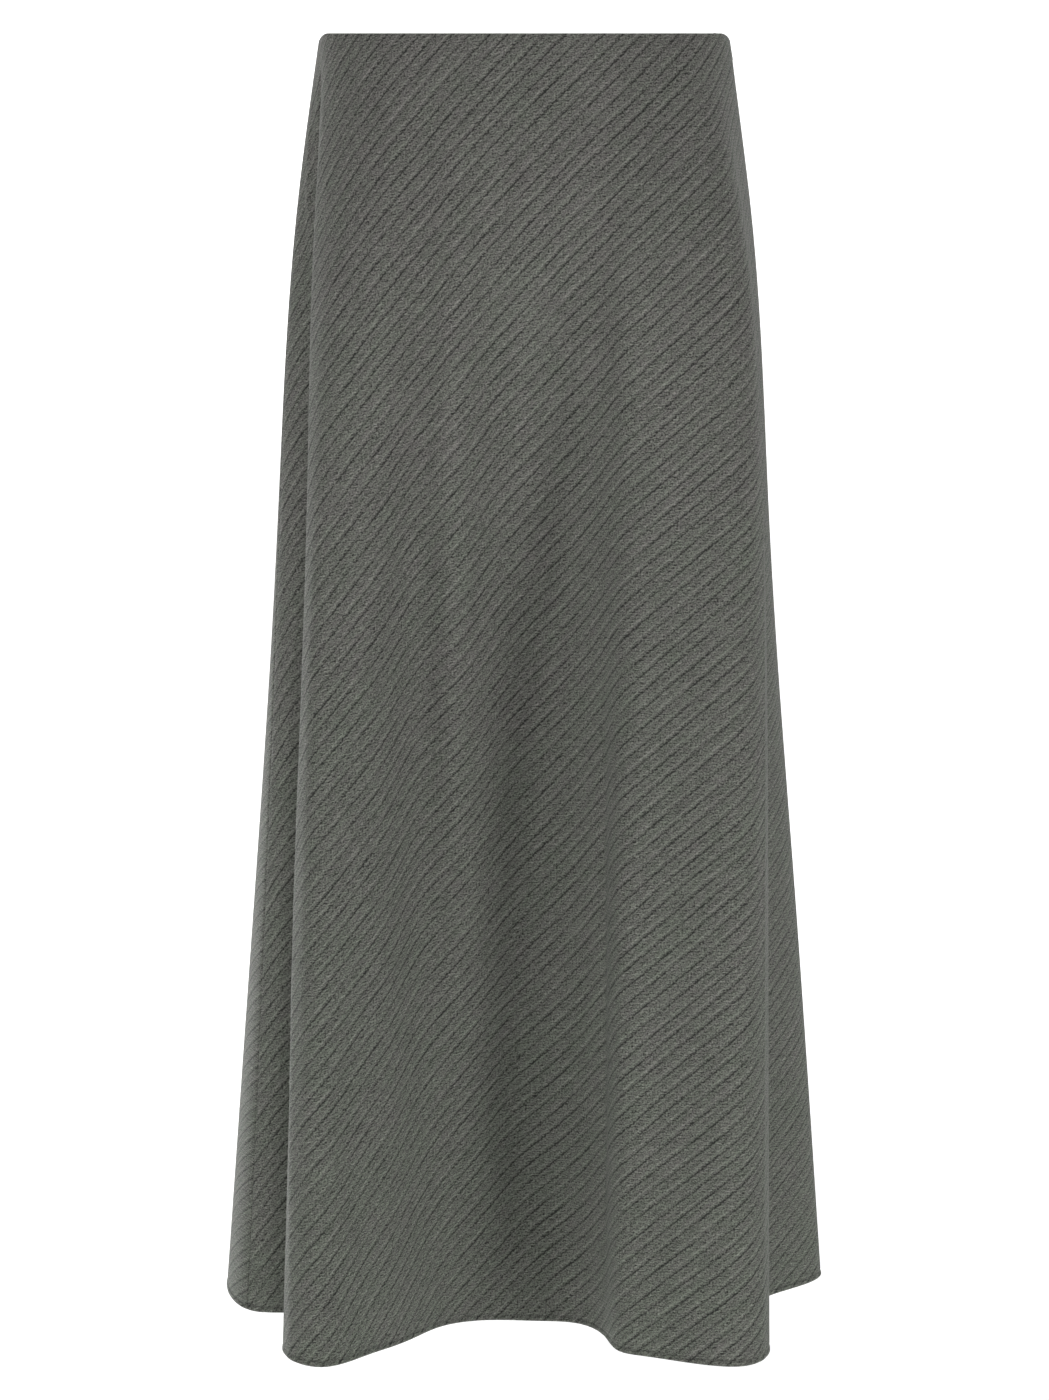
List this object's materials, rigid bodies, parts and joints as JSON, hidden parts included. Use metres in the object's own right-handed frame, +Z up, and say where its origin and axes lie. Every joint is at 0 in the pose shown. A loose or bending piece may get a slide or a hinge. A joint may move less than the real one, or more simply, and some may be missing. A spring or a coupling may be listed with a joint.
{
  "type": "long A-line skirt",
  "caption": "Long bias-cut A-line skirt of striped cloth, filled out as worn and hanging from its waist, with deep soft flutes and a concealed side zip.",
  "frame": {"origin": "centre of the waist opening, at the level of its top edge", "axes": "+Z up along the body, front of the skirt faces -Y, +X is the wearer's left, where the zip is"},
  "size_m": [0.4387, 0.312, 0.9063],
  "materials": {
    "striped_cloth": "soft crepe with tonal diagonal stripes",
    "zip_tape": "plain woven tape",
    "zip_coil": "dyed nylon coil",
    "painted_metal": "satin enamel in the cloth's colour"
  },
  "bodies": {
    "skirt": {"front_panel": "striped_cloth", "back_panel": "striped_cloth", "zip_tape_front": "zip_tape", "zip_tape_back": "zip_tape", "zip_coil": "zip_coil", "zip_slider": "painted_metal"},
    "pull": {"zip_pull": "painted_metal"}
  },
  "joints": [
    {"name": "pull_swing", "type": "hinge", "parent": "skirt", "child": "pull", "pos_m": [0.14247, 0.02158, -0.01527], "axis": [0.1379, -0.9891, 0.0516], "range_deg": [0, 160]}
  ]
}
